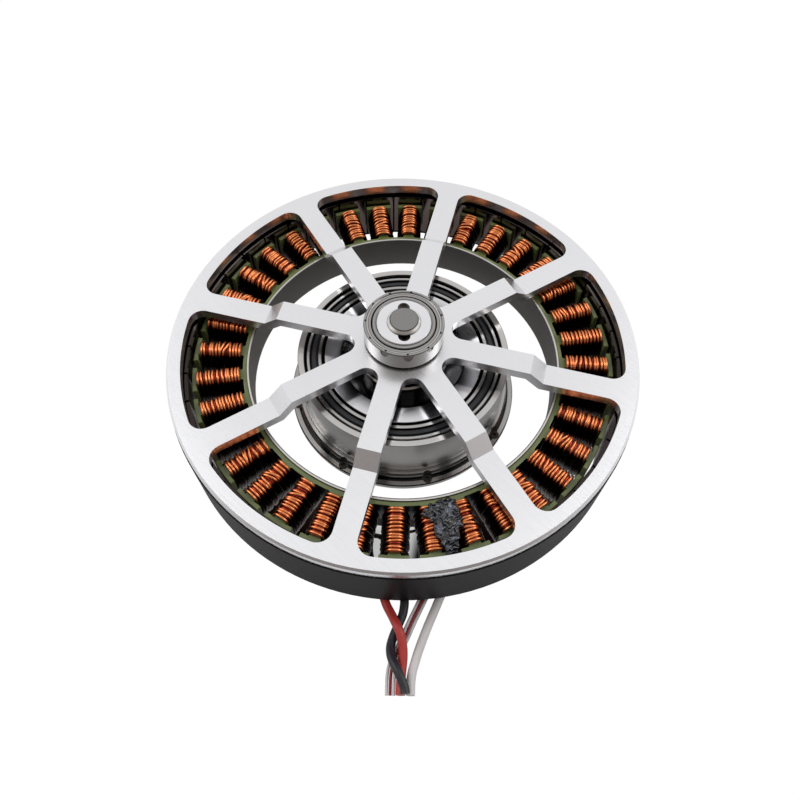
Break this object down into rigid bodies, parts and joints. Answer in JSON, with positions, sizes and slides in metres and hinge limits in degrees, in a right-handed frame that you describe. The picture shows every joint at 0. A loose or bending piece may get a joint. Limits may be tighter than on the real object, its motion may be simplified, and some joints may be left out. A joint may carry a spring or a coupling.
{
  "type": "planetary gear motor",
  "caption": "Flat outer-rotor motor with a spoked rotor plate, a wound stator and a planetary gearbox in its hollow centre.",
  "frame": {"origin": "on the motor's axis, in the plane of the gearbox's base face", "axes": "+Z along the axis, from the base to the shaft end; the spokes lie at whole multiples of 45 degrees from +X"},
  "size_m": [0.223, 0.2586, 0.0616],
  "materials": {
    "machined_aluminium": "brushed",
    "black_steel": "satin black",
    "magnet": "nickel plated",
    "bearing_steel": "polished",
    "gear_steel": "ground",
    "green_laminations": "satin",
    "copper_wire": "enamelled copper wire",
    "bronze": "bronze",
    "stator_sleeve": "dark satin",
    "potting": "smooth resin",
    "black_insulation": "matte",
    "seal_rubber": "matte",
    "black_screw": "black oxide",
    "red_silicone": "soft matte",
    "black_silicone": "soft matte",
    "white_silicone": "soft matte"
  },
  "bodies": {
    "stator": {"stator_core": "green_laminations", "stator_sleeve": "stator_sleeve", "phase_a_coils": "copper_wire", "phase_b_coils": "copper_wire", "phase_c_coils": "copper_wire", "sensor_potting": "potting", "lead_block": "black_insulation", "red_lead": "red_silicone", "black_lead": "black_silicone", "white_lead": "white_silicone", "sensor_lead_left": "white_silicone", "sensor_lead_middle": "red_silicone", "sensor_lead_right": "white_silicone", "gear_housing": "machined_aluminium", "base_ring": "machined_aluminium", "flange_screws": "black_screw", "ring_gear": "gear_steel", "upper_outer_race": "bearing_steel", "upper_seal": "seal_rubber", "lower_outer_race": "bearing_steel"},
    "rotor": {"rotor_spider": "machined_aluminium", "flux_ring": "black_steel", "magnets": "magnet", "sun_shaft": "gear_steel", "sun_gear": "gear_steel", "lock_screws": "black_screw", "hub_inner_race": "bearing_steel", "sun_inner_race": "bearing_steel"},
    "hub_outer_ring": {"hub_outer_race": "bearing_steel", "hub_upper_shield": "bearing_steel", "hub_lower_shield": "bearing_steel"},
    "hub_ball_set": {"hub_balls": "bearing_steel", "hub_cage": "bronze"},
    "carrier": {"carrier_top": "machined_aluminium", "output_carrier": "machined_aluminium", "carrier_screws": "black_screw", "planet_pins": "bearing_steel", "upper_inner_race": "bearing_steel", "lower_inner_race": "bearing_steel", "sun_outer_race": "bearing_steel"},
    "planet_1": {"planet_gear_1": "gear_steel", "planet_bush_1": "bronze"},
    "planet_2": {"planet_gear_2": "gear_steel", "planet_bush_2": "bronze"},
    "planet_3": {"planet_gear_3": "gear_steel", "planet_bush_3": "bronze"},
    "upper_ball_set": {"upper_balls": "bearing_steel", "upper_cage": "bronze"},
    "lower_ball_set": {"lower_balls": "bearing_steel", "lower_cage": "bronze"},
    "sun_ball_set": {"sun_balls": "bearing_steel", "sun_cage": "bronze"}
  },
  "joints": [
    {"name": "rotor_spin", "type": "hinge", "parent": "stator", "child": "rotor", "pos_m": [0, 0, 0.0283], "axis": [0, 0, 1], "continuous": true},
    {"name": "hub_bearing_spin", "type": "hinge", "parent": "rotor", "child": "hub_outer_ring", "pos_m": [0, 0, 0.0543], "axis": [0, 0, 1], "continuous": true},
    {"name": "hub_balls_spin", "type": "hinge", "parent": "rotor", "child": "hub_ball_set", "pos_m": [0, 0, 0.0543], "axis": [0, 0, 1], "continuous": true},
    {"name": "carrier_spin", "type": "hinge", "parent": "stator", "child": "carrier", "pos_m": [0, 0, 0.029], "axis": [0, 0, 1], "continuous": true},
    {"name": "planet_1_spin", "type": "hinge", "parent": "carrier", "child": "planet_1", "pos_m": [0.027, 0, 0.0144], "axis": [0, 0, 1], "continuous": true},
    {"name": "planet_2_spin", "type": "hinge", "parent": "carrier", "child": "planet_2", "pos_m": [-0.0135, 0.02338, 0.0144], "axis": [0, 0, 1], "continuous": true},
    {"name": "planet_3_spin", "type": "hinge", "parent": "carrier", "child": "planet_3", "pos_m": [-0.0135, -0.02338, 0.0144], "axis": [0, 0, 1], "continuous": true},
    {"name": "upper_balls_spin", "type": "hinge", "parent": "stator", "child": "upper_ball_set", "pos_m": [0, 0, 0.029], "axis": [0, 0, 1], "continuous": true},
    {"name": "lower_balls_spin", "type": "hinge", "parent": "stator", "child": "lower_ball_set", "pos_m": [0, 0, 0.0049], "axis": [0, 0, 1], "continuous": true},
    {"name": "sun_balls_spin", "type": "hinge", "parent": "carrier", "child": "sun_ball_set", "pos_m": [0, 0, 0.0283], "axis": [0, 0, 1], "continuous": true}
  ],
  "couplings": [
    {"joint": "carrier_spin", "follows": "rotor_spin", "ratio": 0.22222},
    {"joint": "planet_1_spin", "follows": "rotor_spin", "ratio": -0.62222},
    {"joint": "planet_2_spin", "follows": "rotor_spin", "ratio": -0.62222},
    {"joint": "planet_3_spin", "follows": "rotor_spin", "ratio": -0.62222},
    {"joint": "upper_balls_spin", "follows": "rotor_spin", "ratio": 0.10541},
    {"joint": "lower_balls_spin", "follows": "rotor_spin", "ratio": 0.10722},
    {"joint": "sun_balls_spin", "follows": "rotor_spin", "ratio": 0.33232},
    {"joint": "hub_balls_spin", "follows": "hub_bearing_spin", "ratio": 0.55128}
  ]
}
